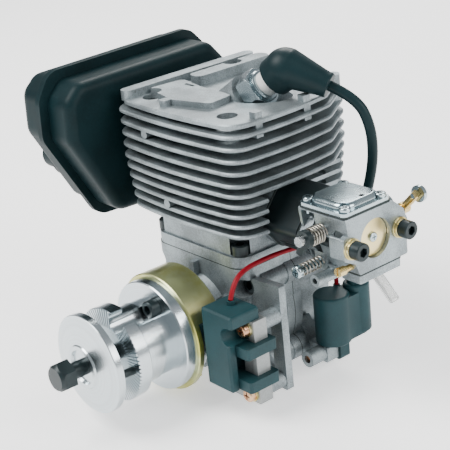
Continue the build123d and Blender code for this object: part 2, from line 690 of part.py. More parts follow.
def carburettor_body():
    x0, x1 = CARB_X, CARB_FRONT
    outline = [(-18, 67), (12, 67), (19, 61), (20.2, 57), (20.2, 38.5), (-11, 38.5), (-14, 46), (-16, 52)]
    lug = prism_x([(-20.0, 58), (-20.0, 48), (-12, 44), (-8, 62)], x1 - 9, x1, 1.0)
    flange = prism_x(mount_diamond(-1.5), x0, x0 + 6, 4.0)
    body = prism_x(outline, x0, x1, 1.0) + lug - block(x0 + 1.5, THROTTLE_X - 5, -40, -9.0, 34, 66)
    body += flange
    nipple = rod_y(NIPPLE_X, NIPPLE_Z, -23.5, -3, 2.9)
    body += nipple + block(NIPPLE_X - 3, NIPPLE_X + 3, -13, -2.8, NIPPLE_Z, 40)
    body += block(IDLE_X - 4, IDLE_X + 4, -13.5, -5, 36.5, 45)
    body -= rod_x(0, CARB_Z, x1 - 12, x1 + 1, CHOKE_R + 0.05)
    body -= rod_x(0, THROTTLE_Z, x0 - 1, THROTTLE_X + THROTTLE_R + 0.8, THROTTLE_R + 0.3)
    body -= rod_y(THROTTLE_X, THROTTLE_Z, -60, 60, SHAFT_R + GAP)
    body -= rod_y(CHOKE_X, CARB_Z, -PLATE_Y - 0.3, PLATE_Y + 0.3, 2.0 + GAP)
    body -= rod_y(ARM_PIVOT[0], ARM_PIVOT[1], 12, 60, 2.0 + GAP)
    body -= rod_y(86.0, 57.5, -19, -16.2, 3.1)
    body -= rod_y(IDLE_X, IDLE_Z, -60, -6.5, 1.6 + GAP)
    body -= rod_y(NIPPLE_X, NIPPLE_Z, -24, -10, 1.5)
    body -= rod_y(NEEDLE_X, NEEDLE_Z, -22, -4, 1.5 + GAP)
    for x, y in cover_places():
        body -= rod_z(x, y, 60, 68, 1.5 + GAP)
    body -= rod_z(METER_AT[0], METER_AT[1], 34, 39.8, 1.5 + GAP)
    return carb_hole_set(body, x0 - 1, x1 + 1)


def cover_places():
    return [(x, y) for x in (65.5, 88.5) for y in (-14.5, 8.0)]


def cover_outline(z0, z1, grow=0.0):
    return round_block(14.6 + grow, 15.0 + grow, z0, z1, 2.5, COVER_AT[0], COVER_AT[1])


def carburettor_gaskets():
    """Pump diaphragm under the top cover and metering diaphragm over the bottom cover."""
    upper = cover_outline(67.0, 68.0, 0.2)
    for x, y in cover_places():
        upper -= rod_z(x, y, 60, 70, 1.5 + GAP)
    lower = prism_z(metering_outline(0.3), 37.6, 38.5, 1.0) - metering_hole()
    return together([upper, lower])


def dome(hx, hy, r, z0, z1, edge):
    """Rounded block with a softened upper edge."""
    body = round_block(hx, hy, z0, z1, r, COVER_AT[0], COVER_AT[1])
    return fillet(body.faces().sort_by(Axis.Z)[-1].edges(), edge)


def pump_cover():
    """Pressed domed cover with a vent hole."""
    body = cover_outline(68.0, 69.6) + dome(12.4, 12.6, 7.0, 69.0, 72.4, 2.4)
    body -= dome(11.2, 11.4, 5.8, 67.0, 71.2, 1.6)
    body -= rod_z(86.0, -1.2, 60, 80, 1.3)
    for x, y in cover_places():
        body -= rod_z(x, y, 60, 80, 1.5 + GAP) + rod_z(x, y, 69.6, 80, 3.2)
    return body


def metering_outline(grow=0.0):
    g = grow
    return [(66 - g, -2.3 - g), (79.4 - g, -2.3 - g), (79.4 - g, -10.5 - g), (91.5 + g, -10.5 - g),
            (91.5 + g, 16.0 + g), (66 - g, 16.0 + g)]


def metering_hole():
    return rod_z(METER_AT[0], METER_AT[1], 30, 40, 1.5 + GAP)


def metering_cover():
    body = prism_z(metering_outline(), 33.6, 37.6, 0.8)
    body += rod_z(SPIGOT_AT[0], SPIGOT_AT[1], 30.5, 34, 3.0)
    return body - metering_hole() - rod_z(SPIGOT_AT[0], SPIGOT_AT[1], 30, 36, 1.2)


def cover_screws():
    """Five alike screws: four in the top cover, one in the bottom cover."""
    screw = pan_screw(3.0, 6.0, 2.0, 2.7)
    seats = [Pos(x, y, 69.62) for x, y in cover_places()]
    seats.append(facing((METER_AT[0], METER_AT[1], 33.58), (0, 0, -1)))
    return together(seat * screw for seat in seats)


def primer_stub():
    """Short length of clear fuel tube pushed on the lower spigot."""
    top = Vector(SPIGOT_AT[0], SPIGOT_AT[1], 32.5)
    body = facing(top, (6.5, 7.0, -17.5)) * (Cylinder(2.6, 20, align=UP) - Cylinder(1.5, 50))
    return body & block(60, 100, -20, 40, 0, 30.45)


def carb_bolts():
    screw = cap_screw(5.0, 66, 5.0, 4.25, 4.0)
    seats = [facing((CARB_FRONT + 2.5, y, z), (1, 0, 0)) for y, z in bolt_lines()]
    plain = [ring_x(y, z, CARB_FRONT + 0.02, CARB_FRONT + 1.1, 2.6, 5.0) for y, z in bolt_lines()]
    spring = [ring_x(y, z, CARB_FRONT + 1.15, CARB_FRONT + 2.45, 2.6, 4.6) for y, z in bolt_lines()]
    return together([seat * screw for seat in seats] + plain + spring)


def throttle_shaft():
    body = rod_y(THROTTLE_X, THROTTLE_Z, LEFT_Y - 14.8, RIGHT_Y + 3.9, SHAFT_R)
    body -= block(THROTTLE_X - 0.55, THROTTLE_X + 0.55, -THROTTLE_R - 0.1, THROTTLE_R + 0.1, 45, 70)
    return body - rod_x(0, THROTTLE_Z, THROTTLE_X, THROTTLE_X + 3, 1.1 + GAP)


def throttle_plate():
    """Butterfly and the small screw that holds it in the shaft."""
    disc = rod_x(0, THROTTLE_Z, THROTTLE_X - 0.5, THROTTLE_X + 0.5, THROTTLE_R)
    seat = facing((THROTTLE_X + SHAFT_R, 0, THROTTLE_Z), (1, 0, 0))
    return together([disc, seat * pan_screw(2.2, SHAFT_R - 0.6, 1.2, 2.0)])


def throttle_lever():
    """Arm clamped on the +Y end of the throttle shaft, with an eye for the linkage."""
    x, z = THROTTLE_X, THROTTLE_Z
    ex, ez = SWIVEL
    outline = [(x - 5, z + 3), (x + 5, z + 3), (ex + 3, ez - 3), (ex - 3, ez - 3)]
    arm = prism_y(outline, RIGHT_Y, RIGHT_Y + 1.8, 2.0)
    body = arm + rod_y(x, z, RIGHT_Y, RIGHT_Y + 3.4, 4.6) - rod_y(x, z, 0, 60, SHAFT_R + GAP)
    return body - rod_y(ex, ez, 0, 60, 1.6 + GAP)


def linkage_swivel():
    """Brass barrel on the throttle lever that takes the control rod."""
    x, z = SWIVEL
    end, hole = RIGHT_Y + 9.9, RIGHT_Y + 5.6
    body = rod_y(x, z, RIGHT_Y + 2.1, end, 2.6) + rod_y(x, z, RIGHT_Y - 0.1, RIGHT_Y + 2.2, 1.6)
    body -= rod_z(x, hole, 30, 50, 1.1)
    body -= rod_y(x, z, hole, end + 5, 1.2 + GAP)
    seat = facing((x, end + 0.02, z), (0, 1, 0))
    return together([body, seat * pan_screw(2.4, 2.6, 2.4, 3.6)])


def coil_spring(x, z, y0, y1, radius, wire, turns):
    """Compression spring along Y."""
    rise = y1 - y0 - wire
    helix = Helix(pitch=rise / turns, height=rise, radius=radius)
    section = Plane(origin=helix @ 0, z_dir=helix % 0) * Circle(wire / 2)
    coil = sweep(section, path=helix, is_frenet=True)
    return Pos(x, y0 + wire / 2, z) * Rot(-90, 0, 0) * coil


def throttle_spring():
    return coil_spring(THROTTLE_X, THROTTLE_Z, LEFT_Y - 8.8, LEFT_Y, 3.9, 1.0, 5)


def throttle_collar():
    """Retaining collar with a stop arm on the -Y end of the throttle shaft."""
    x, z = THROTTLE_X, THROTTLE_Z
    y0, y1 = LEFT_Y - 11.8, LEFT_Y - 9.1
    hub = rod_y(x, z, y0, y1, 4.3)
    arm = prism_y([(x - 3, z), (x + 2, z), (x - 2.5, z - 9), (x - 6, z - 8)], y0 + 0.5, y1 - 0.3, 0.8)
    return hub + arm - rod_y(x, z, -60, 0, SHAFT_R + GAP)


def choke_shaft():
    """Pivot of the choke disc, carried in the two side walls of the choke bore."""
    body = rod_y(CHOKE_X, CARB_Z, -PLATE_Y, PLATE_Y, 2.0)
    return body - block(CHOKE_X - 0.05, CHOKE_X + 3, -CHOKE_R - 0.1, CHOKE_R + 0.1, 40, 70)


def choke_plate():
    """Choke disc and the small screw at its centre."""
    disc = rod_x(0, CARB_Z, CHOKE_X, CHOKE_X + 0.9, CHOKE_R - 0.15)
    disc -= rod_x(0, CARB_Z, CHOKE_X - 1, CHOKE_X + 2, 1.1 + GAP)
    seat = facing((CHOKE_X + 0.92, 0, CARB_Z), (1, 0, 0))
    return together([disc, seat * pan_screw(2.2, 0.85, 1.2, 2.3)])


def choke_lever():
    """Brass arm on its own pivot pin, with a pan screw through its tip."""
    x, z = ARM_PIVOT
    tip = Vector(ARM_TIP[0], ARM_Y, ARM_TIP[1])
    way = tip - Vector(x, ARM_Y, z)
    body = rod_y(x, z, 12.5, ARM_Y + 1.6, 2.0) + rod_y(x, z, ARM_Y - 2.0, ARM_Y + 2.0, 2.8)
    body += facing((x, ARM_Y, z), way) * Cylinder(1.95, way.length + 1.5, align=UP)
    body -= rod_y(ARM_TIP[0], ARM_TIP[1], 10, 40, 1.2 + GAP)
    seat = facing(tip + Vector(0, 1.97, 0), (0, 1, 0))
    return together([body, seat * pan_screw(2.4, 3.6, 2.6, 4.0)])


def idle_screw():
    seat = facing((IDLE_X, -27.5, IDLE_Z), (0, -1, 0))
    return seat * pan_screw(3.2, 19.5, 2.4, 3.1)


def idle_spring():
    return coil_spring(IDLE_X, IDLE_Z, -27.3, -13.8, 2.55, 0.8, 6)


def mixture_needle():
    body = rod_y(NEEDLE_X, NEEDLE_Z, -17.5, -5, 1.5) + rod_y(NEEDLE_X, NEEDLE_Z, -21.5, -17.5, 2.2)
    return body - block(NEEDLE_X - 0.35, NEEDLE_X + 0.35, -22, -20.6, 39, 46)


# silencer -------------------------------------------------------------------

def box_outline(grow=0.0):
    g = grow
    return [(-57 - g, 119 + g), (-65 - g, 108), (-66 - g, 88), (-41 - g * 0.4, 42 - g), (26, 40 - g),
            (43 + g, 60), (45 + g, 104), (30, 121 + g)]


def shell(x0, x1, grow, inner, r):
    outer = prism_x(box_outline(grow), x0, x1, r)
    return outer - prism_x(box_outline(grow - 1.6), inner[0], inner[1], r - 1.0)


def muffler_inner():
    x1, x2 = BOX_X[1], BOX_X[2]
    body = shell(x1, x2, -3.0, (x1 - 1, x2 - 1.6), 9.0)
    face = [f for f in body.faces().filter_by(Axis.X) if abs(f.center().X - x2) < 0.01]
    body = fillet(face[0].outer_wire().edges(), 5.0) if face else body
    rim = prism_x(box_outline(2.0), x1, x1 + 2.0, 11.0) - prism_x(box_outline(-4.6), x1 - 1, x1 + 3, 8.0)
    neck = block(x2 - 1.2, -EXHAUST_FACE - 0.8, -14, 14, EXHAUST_Z - 9, EXHAUST_Z + 8)
    pad = block(-EXHAUST_FACE - 4.8, -EXHAUST_FACE - 0.8, -22, 22, EXHAUST_Z - 9, EXHAUST_Z + 8)
    body += rim + neck + fillet(pad.edges().filter_by(Axis.X), 3.0)
    body -= block(x2 - 4, 0, -11, 11, EXHAUST_Z - 6, EXHAUST_Z + 5)
    for s in (-1, 1):
        body += rod_x(s * 17.5, EXHAUST_Z, x1 + 2, x2, 5.0)
        body -= rod_x(s * 17.5, EXHAUST_Z, -120, 0, 3.0 + GAP)
    return body


def muffler_outer():
    x0, x1 = BOX_X[0], BOX_X[1]
    body = shell(x0, x1 - GAP, -3.0, (x0 + 1.6, x1 + 1), 9.0)
    face = [f for f in body.faces().filter_by(Axis.X) if abs(f.center().X - x0) < 0.01]
    body = fillet(face[0].outer_wire().edges(), 6.0) if face else body
    rim = prism_x(box_outline(2.0), x1 - 1.6, x1 - GAP, 11.0) - prism_x(box_outline(-4.6), x1 - 3, x1 + 1, 8.0)
    body += rim
    body += rod_x(OUTLET[0], OUTLET[1], x0 - 14, x0 + 1, 8.0)
    body += rod_x(OUTLET[0], OUTLET[1], x0 - 2, x0 + 1.5, 10.0)
    body -= rod_x(OUTLET[0], OUTLET[1], x0 - 15, x0 + 3, 6.5)
    for s in (-1, 1):
        body += rod_x(s * 17.5, EXHAUST_Z, x0 + 0.5, x1 - GAP, 5.0)
        body -= rod_x(s * 17.5, EXHAUST_Z, -120, 0, 3.0 + GAP)
    return body


def exhaust_gasket():
    x0, x1 = -EXHAUST_FACE - 0.8, -EXHAUST_FACE
    body = block(x0, x1, -22, 22, EXHAUST_Z - 9, EXHAUST_Z + 8)
    body = fillet(body.edges().filter_by(Axis.X), 3.0)
    body -= block(-60, 0, -11, 11, EXHAUST_Z - 6, EXHAUST_Z + 5)
    for s in (-1, 1):
        body -= rod_x(s * 17.5, EXHAUST_Z, -60, 0, 3.0 + GAP)
    return body


def muffler_bolts():
    length = -EXHAUST_FACE + 11 - BOX_X[0]
    screw = cap_screw(6.0, length, 6.0, 5.0, 5.0)
    return Compound([facing((BOX_X[0], s * 17.5, EXHAUST_Z), (-1, 0, 0)) * screw for s in (-1, 1)])


# rotating parts -------------------------------------------------------------

def crankshaft():
    """Two full-circle webs on the two main journals; the crankpin is a piece of its own."""
    front = rod_y(0, 0, -16.8, -7.7, WEB_R) + rod_y(0, 0, -17.7, -16.5, 10.0)
    front += rod_y(0, 0, -72, -17, SHAFT_D / 2)
    rear = rod_y(0, 0, 7.7, 16.8, WEB_R) + rod_y(0, 0, 16.5, 17.7, 10.0)
    rear += rod_y(0, 0, 17, CHAMBER_W + 11.5, SHAFT_D / 2)
    solids = []
    for half in (front, rear):
        half = chamfer(half.edges().filter_by(GeomType.CIRCLE).filter_by(lambda e: e.radius > WEB_R - 1), 0.8)
        half -= rod_y(-14, HALF - 3, -30, 30, 4.0) + rod_y(14, HALF - 3, -30, 30, 4.0)
        solids += list(half.solids())
    solids[0] -= block(SHAFT_D / 2 - 2.0, SHAFT_D, -52, -43, -2.0, 2.0)
    return Compound(solids)


def shaft_key():
    return block(SHAFT_D / 2 - 2.0 + 0.02, SHAFT_D / 2 + 1.8, -51.98, -43.02, -1.98, 1.98)


def flywheel_cup():
    """Plated steel cup carrying the magnets; its rim is cut away over one sector."""
    y0 = FLANGE_Y + FLANGE_T + 0.02
    body = rod_y(0, 0, y0, CUP_REAR, CUP_R) - rod_y(0, 0, y0 + 3.0, CUP_REAR + 1, CUP_R - 3.0)
    body = chamfer(body.edges().filter_by(GeomType.CIRCLE).filter_by(lambda e: e.radius > CUP_R - 1), 0.5)
    sector = Polyline([(0, 0), (80, 33), (80, -90), (20, -90)], close=True)
    sheet = Plane((0, CUP_REAR + 1, 0), x_dir=(1, 0, 0), z_dir=(0, -1, 0))
    window = sheet * extrude(make_face(sector), amount=CUP_REAR + 1 - y0 - 3.0)
    body -= window & rod_y(0, 0, -70, 0, 40) - rod_y(0, 0, -70, 0, 26)
    body -= rod_y(0, 0, -70, 0, SHAFT_D / 2 + 0.02)
    for x, z in hub_bolt_places():
        body -= rod_y(x, z, -70, 0, 2.5 + GAP)
    return body


def flywheel_hub():
    y0 = FLANGE_Y + FLANGE_T + 3.04
    body = rod_y(0, 0, y0, y0 + 6.5, 25.0) + rod_y(0, 0, y0, CUP_REAR, 13.0)
    body -= rod_y(0, 0, -70, 0, SHAFT_D / 2 + 0.02)
    body -= block(0, SHAFT_D / 2 + 1.85, -52, CUP_REAR + 1, -2.0, 2.0)
    for x, z in hub_bolt_places():
        body -= rod_y(x, z, -70, 0, 2.5 + GAP)
    return body


def flywheel_magnets():
    """Two pole magnets bonded inside the rim, away from the cut sector."""
    ring = rod_y(0, 0, -48.5, CUP_REAR - 0.5, CUP_R - 3.02) - rod_y(0, 0, -60, 0, CUP_R - 7.5)
    parts = []
    for turn in (115, 150):
        wedge = prism_y([(0, -5.0), (50, -8.0), (50, 8.0), (0, 5.0)], -60, -30)
        parts.append(ring & Rot(0, -turn, 0) * wedge)
    return Compound([s for p in parts for s in p.solids()])


def hub_bolt_places():
    return [(HUB_BOLT_R * math.cos(math.radians(a)), HUB_BOLT_R * math.sin(math.radians(a))) for a in (66, 246)]


def prop_driver():
    """Turned hub: serrated propeller face, neck and bolting flange in one piece."""
    y0, y1 = DRIVER_FRONT, FLANGE_Y + FLANGE_T
    rim = y0 + DRIVER_T
    body = turned_y([(y0, 0), (y0, DRIVER_R - 0.4), (y0 + 0.4, DRIVER_R), (rim - 0.6, DRIVER_R), (rim, DRIVER_R - 0.6),
                     (rim + 0.4, 19.6), (FLANGE_Y - 7, 19.6), (FLANGE_Y - 6.6, 19.0), (FLANGE_Y, 19.0),
                     (FLANGE_Y, FLANGE_R - 0.5), (FLANGE_Y + 0.5, FLANGE_R), (y1, FLANGE_R + 0.4), (y1, 0)])
    for x, z in hub_bolt_places():
        body -= rod_y(x, z, y0 - 1, FLANGE_Y, 5.6)
        body -= rod_y(x, z, y0 - 1, 0, 2.5 + GAP)
    body -= serrations(y0)
    body -= rod_y(0, 0, -73, 0, SHAFT_D / 2 + 0.02)
    body -= rod_y(0, 0, y0 - 1, -72, 4.0 + GAP)
    body -= rod_y(PIN_AT[0], PIN_AT[1], y0 - 1, y0 + 6, PIN_R)
    return body


def serrations(y0):
    """Fine radial teeth cut in the propeller face."""
    count = 72
    cutter = None
    tooth = prism_y([(14.5, -0.28), (30, -0.5), (30, 0.5), (14.5, 0.28)], y0 - 1, y0 + 0.55)
    for i in range(count):
        piece = Rot(0, 360 * i / count, 0) * tooth
        cutter = [piece] if cutter is None else cutter + [piece]
    return cutter


def hub_bolts():
    screw = cap_screw(5.0, 13.5, 5.0, 4.25, 4.0)
    seats = [facing((x, FLANGE_Y - 1.1, z), (0, -1, 0)) * screw for x, z in hub_bolt_places()]
    washers = [ring_y(x, z, FLANGE_Y - 1.08, FLANGE_Y - 0.02, 2.6, 4.5) for x, z in hub_bolt_places()]
    return Compound(seats + washers)


def drive_pin():
    return rod_y(PIN_AT[0], PIN_AT[1], WASHER_Y + WASHER_T + 0.5, DRIVER_FRONT + 5.8, PIN_R - 0.03)


def prop_washer():
    """Turned front washer with a shallow cone and a raised seat for the bolt."""
    y0, y1 = WASHER_Y, WASHER_Y + WASHER_T
    return turned_y([(y1, 4.0 + GAP), (y1, WASHER_R), (y0 + 0.3, WASHER_R), (y0, WASHER_R - 0.3), (y0 - 2.8, 11.0),
                     (y0 - 3.6, 10.6), (y0 - 3.6, 8.6), (y0 - 2.2, 8.0), (y0 - 2.2, 4.0 + GAP)])


def prop_bolt():
    y0 = HEAD_Y + 8.0
    head = extrude(RegularPolygon(13.0 / math.sqrt(3), 6), amount=8.0)
    head &= Cylinder(7.6, 5.5, align=UP) + Pos(0, 0, 5.5) * Cone(7.6, 5.6, 2.5, align=UP)
    shank = Pos(0, 0, -39) * Cylinder(4.0, 39, align=UP)
    return facing((0, y0, 0), (0, -1, 0)) * (head + shank)


def crank_pin():
    return rod_y(0, HALF, -7.4, 7.4, CRANK_PIN_R)


def big_end_bearing():
    body = []
    count = 16
    mid, r = CRANK_PIN_R + 1.0, 0.9
    for i in range(count):
        a = 2 * math.pi * i / count
        body.append(rod_y(mid * math.cos(a), HALF + mid * math.sin(a), -5.5, 5.5, r))
    return Compound(body)


def connecting_rod():
    top = HALF + ROD
    eye = rod_y(0, HALF, -6.5, 6.5, 9.0) + rod_y(0, top, -6.5, 6.5, 9.8)
    shank = prism_x([(-3.2, HALF), (3.2, HALF), (3.2, top), (-3.2, top)], -5.5, 5.5)
    slot = block(-2.8, 2.8, -4, -1.4, HALF + 14, top - 13) + block(-2.8, 2.8, 1.4, 4, HALF + 14, top - 13)
    body = eye + shank - slot
    body -= rod_y(0, HALF, -20, 20, CRANK_PIN_R + 1.95)
    return body - rod_y(0, top, -20, 20, 7.6)


def small_end_bearing():
    top = HALF + ROD
    rollers = []
    count = 16
    mid, r = (PIN_D / 2 + 7.6) / 2, (7.6 - PIN_D / 2) / 2 - 0.02
    for i in range(count):
        a = 2 * math.pi * i / count
        rollers.append(rod_y(mid * math.cos(a), top + mid * math.sin(a), -6, 6, r))
    return Compound(rollers)


def wrist_pin():
    """Hollow wrist pin and the two spring clips that keep it in the piston."""
    top = HALF + ROD
    clips = [ring_y(0, top, y, y + CLIP_T, 4.2, PIN_D / 2 + 0.6) for y in (-CLIP_Y - CLIP_T, CLIP_Y)]
    return together([ring_y(0, top, -PIN_HALF, PIN_HALF, 3.2, PIN_D / 2)] + clips)


def piston():
    top = HALF + ROD
    r = BORE / 2 - RUN
    body = rod_z(0, 0, CROWN - PISTON_L, CROWN, r)
    body = chamfer(body.edges().sort_by(Axis.Z)[-1], 0.8)
    body -= rod_z(0, 0, CROWN - PISTON_L - 1, CROWN - 5, r - 3.4)
    body += rod_y(0, top, -r + 1, -9, 9.0) + rod_y(0, top, 9, r - 1, 9.0)
    body &= rod_z(0, 0, CROWN - PISTON_L, CROWN, r)
    body -= rod_y(0, top, -30, 30, PIN_D / 2 + 0.01)
    for y in (-CLIP_Y - CLIP_T, CLIP_Y):
        body -= rod_y(0, top, y, y + CLIP_T, PIN_D / 2 + 0.62)
    for z in ring_levels():
        body -= rod_z(0, 0, z, z + 1.5, r + 1) - rod_z(0, 0, z - 1, z + 3, r - 2.2)
    return body


def ring_levels():
    return [CROWN - 4.5, CROWN - 8.5]


def piston_rings():
    rings = []
    for z in ring_levels():
        ring = rod_z(0, 0, z + 0.03, z + 1.47, BORE / 2 - 0.02) - rod_z(0, 0, z - 1, z + 3, BORE / 2 - 2.1)
        rings.append(ring - block(-0.3, 0.3, 0, 40, z - 1, z + 3))
    return Compound(rings)


PARTS = [
    crankcase_front, crankcase_rear, crankcase_gaskets, crankcase_bolts, main_bearings, front_seal, cylinder,
    cylinder_bolts, spark_plug, plug_cap, ignition_lead, signal_wire, ignition_coil, ignition_screws, magneto_box,
    magneto_core, magneto_coil, magneto_washers, intake_gaskets, intake_insulator, carburettor_body,
    carburettor_gaskets, pump_cover, metering_cover, cover_screws, primer_stub, carb_bolts, throttle_shaft,
    throttle_plate, throttle_lever, throttle_collar, throttle_spring, linkage_swivel, choke_shaft, choke_plate,
    choke_lever, idle_screw, idle_spring, mixture_needle, muffler_inner, muffler_outer, exhaust_gasket,
    muffler_bolts, crankshaft, shaft_key, flywheel_cup, flywheel_hub, flywheel_magnets, prop_driver, hub_bolts,
    drive_pin, prop_washer, prop_bolt, crank_pin, big_end_bearing, connecting_rod, small_end_bearing, wrist_pin,
    piston, piston_rings,
]


def main():
    os.makedirs("parts", exist_ok=True)
    for make in PARTS:
        solids = make().solids()
        shape = together(solids) if len(solids) > 1 else solids[0]
        export_step(Pos(0, -REAR, 0) * shape, f"parts/{make.__name__}.step")


if __name__ == "__main__":
    main()
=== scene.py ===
import json
import math

import bpy
from bpy.props import FloatProperty, FloatVectorProperty, PointerProperty
from mathutils import Matrix, Vector

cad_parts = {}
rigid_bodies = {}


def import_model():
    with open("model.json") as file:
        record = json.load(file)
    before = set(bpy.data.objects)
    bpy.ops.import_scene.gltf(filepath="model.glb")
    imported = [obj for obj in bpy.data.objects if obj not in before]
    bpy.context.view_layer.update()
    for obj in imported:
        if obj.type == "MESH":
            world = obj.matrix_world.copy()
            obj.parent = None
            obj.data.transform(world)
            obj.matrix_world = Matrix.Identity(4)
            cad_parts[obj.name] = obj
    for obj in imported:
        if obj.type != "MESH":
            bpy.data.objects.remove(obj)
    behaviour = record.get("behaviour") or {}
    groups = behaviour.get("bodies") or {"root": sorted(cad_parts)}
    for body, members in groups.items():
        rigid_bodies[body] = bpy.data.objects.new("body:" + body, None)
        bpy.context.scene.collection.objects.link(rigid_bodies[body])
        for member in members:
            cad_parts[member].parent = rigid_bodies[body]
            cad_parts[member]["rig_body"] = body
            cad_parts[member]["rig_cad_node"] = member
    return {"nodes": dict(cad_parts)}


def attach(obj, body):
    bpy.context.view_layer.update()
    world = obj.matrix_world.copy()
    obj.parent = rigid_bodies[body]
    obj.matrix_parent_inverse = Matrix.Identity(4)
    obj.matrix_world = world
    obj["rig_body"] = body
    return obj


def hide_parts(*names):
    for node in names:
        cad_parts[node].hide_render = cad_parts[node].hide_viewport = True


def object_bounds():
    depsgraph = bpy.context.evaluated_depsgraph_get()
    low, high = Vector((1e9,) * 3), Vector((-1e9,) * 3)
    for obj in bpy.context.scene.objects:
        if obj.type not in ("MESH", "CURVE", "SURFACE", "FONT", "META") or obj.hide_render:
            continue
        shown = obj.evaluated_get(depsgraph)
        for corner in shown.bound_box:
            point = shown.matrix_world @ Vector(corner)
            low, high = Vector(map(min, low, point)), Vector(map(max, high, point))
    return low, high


bl_info = {
    "name": "Two-Stroke Model Engine",
    "version": (1, 0, 0),
    "blender": (4, 5, 0),
    "location": "View3D > Sidebar > Engine",
    "description": "Finishes, fittings and studio for a single-cylinder two-stroke engine",
    "category": "Object",
}

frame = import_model()
CAD_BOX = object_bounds()
MM = 0.001
REAR = 36.0  # from the crossing of crankshaft and bore to the rear mounting face
WELD = 2e-6
CREASE = math.radians(32)
BEVEL_ANGLE = math.radians(35)
PLUG_WAY = (0.76, 0.28, 0.59)
CAP_VOXEL = 0.00045
CAP_SMOOTH_FACTOR = 0.6
CAP_SMOOTH_STEPS = 14
SENSOR_WIDTH = 36.0
FLOOR_SIZE = 8.0
FLOOR_GAP = 0.0005
FLOOR_GLOW = 0.8
CAMERA_PLACE = (469.0, -382.8, 280.1)
CAMERA_RIGHT = (0.64736, 0.75614, -0.09574)
CAMERA_UP = (-0.22602, 0.31042, 0.92334)
CAMERA_BACK = (0.72790, -0.57610, 0.37185)
LAMP_TINT = (1.0, 0.99, 0.97)
LAMPS = (
    ("main", (-0.35, -0.75, 1.15), 0.8, 1.0),
    ("side", (1.15, 0.25, 0.65), 0.7, 0.45),
    ("rim", (-0.7, 0.75, 0.9), 0.6, 0.4),
)
SKY_TINT = (0.92, 0.96, 1.0, 1.0)


# shader maths ---------------------------------------------------------------

class Value:
    """A shader socket that adds Math nodes when it is used in an expression."""

    def __init__(self, finish, socket):
        self.finish = finish
        self.socket = socket

    def _maths(self, operation, first, second):
        return self.finish.node("ShaderNodeMath", {"operation": operation}, {0: first, 1: second})

    def __add__(self, other):
        return self._maths("ADD", self, other)

    def __radd__(self, other):
        return self._maths("ADD", other, self)

    def __sub__(self, other):
        return self._maths("SUBTRACT", self, other)

    def __rsub__(self, other):
        return self._maths("SUBTRACT", other, self)

    def __mul__(self, other):
        return self._maths("MULTIPLY", self, other)

    def __rmul__(self, other):
        return self._maths("MULTIPLY", other, self)

    def __pow__(self, other):
        return self._maths("POWER", self, other)


class Finish:
    """One material and the nodes that make it."""

    def __init__(self, name, **constants):
        self.material = bpy.data.materials.new(name)
        self.material.use_nodes = True
        self.tree = self.material.node_tree
        self.shader = self.tree.nodes["Principled BSDF"]
        for socket, value in constants.items():
            self.shader.inputs[socket.replace("_", " ")].default_value = value

    def node(self, kind, settings, inputs, output=0):
        made = self.tree.nodes.new(kind)
        for key, value in settings.items():
            setattr(made, key, value)
        for key, value in inputs.items():
            if isinstance(value, Value):
                self.tree.links.new(value.socket, made.inputs[key])
            else:
                made.inputs[key].default_value = value
        return Value(self, made.outputs[output])

    def feed(self, name, value):
        self.tree.links.new(value.socket, self.shader.inputs[name])

    def place(self):
        return self.node("ShaderNodeTexCoord", {}, {}, "Object")

    def noise(self, where, scale, detail=3.0, roughness=0.5):
        inputs = {"Vector": where, "Scale": scale, "Detail": detail, "Roughness": roughness}
        return self.node("ShaderNodeTexNoise", {}, inputs)

    def step(self, value, low, high):
        """0 below low, 1 above high and smooth between."""
        settings = {"interpolation_type": "SMOOTHSTEP"}
        return self.node("ShaderNodeMapRange", settings, {"Value": value, "From Min": low, "From Max": high})

    def blend(self, factor, first, second):
        inputs = {"Factor": factor, 6: first, 7: second}
        return self.node("ShaderNodeMix", {"data_type": "RGBA"}, inputs, 2)

    def bump(self, height, strength, distance):
        inputs = {"Height": height, "Strength": strength, "Distance": distance}
        self.feed("Normal", self.node("ShaderNodeBump", {}, inputs))

    def about_crank(self, where):
        """Distance from the crankshaft's axis and place along it."""
        split = self.tree.nodes.new("ShaderNodeSeparateXYZ")
        self.tree.links.new(where.socket, split.inputs[0])
        x, y, z = (Value(self, split.outputs[i]) for i in range(3))
        return (x * x + z * z) ** 0.5, y


def shade(colour, factor):
    return tuple(min(1.0, c * factor) for c in colour[:3]) + (1.0,)


# finishes -------------------------------------------------------------------

def cast_alloy(name, colour, metallic=0.75, roughness=0.42, bump=0.35):
    """Blasted casting: sandy grain, cloudy tone and small pits."""
    f = Finish(name, Metallic=metallic, Roughness=roughness, IOR=1.5)
    where = f.place()
    grain = f.noise(where, 1500.0, 3.0, 0.6)
    cloud = f.noise(where, 70.0, 4.0, 0.55)
    pits = f.step(f.noise(where, 620.0, 2.0, 0.5), 0.66, 0.74)
    tone = f.step(cloud * 0.55 + grain * 0.45, 0.38, 0.62)
    body = f.blend(tone, shade(colour, 0.66), shade(colour, 1.2))
    f.feed("Base Color", f.blend(pits * 0.5, body, shade(colour, 0.5)))
    f.feed("Roughness", roughness - 0.06 + 0.16 * grain + 0.10 * cloud + 0.08 * pits)
    f.bump(grain * 0.8 + cloud * 0.4 - pits * 0.8, bump, 0.0002)
    return f.material


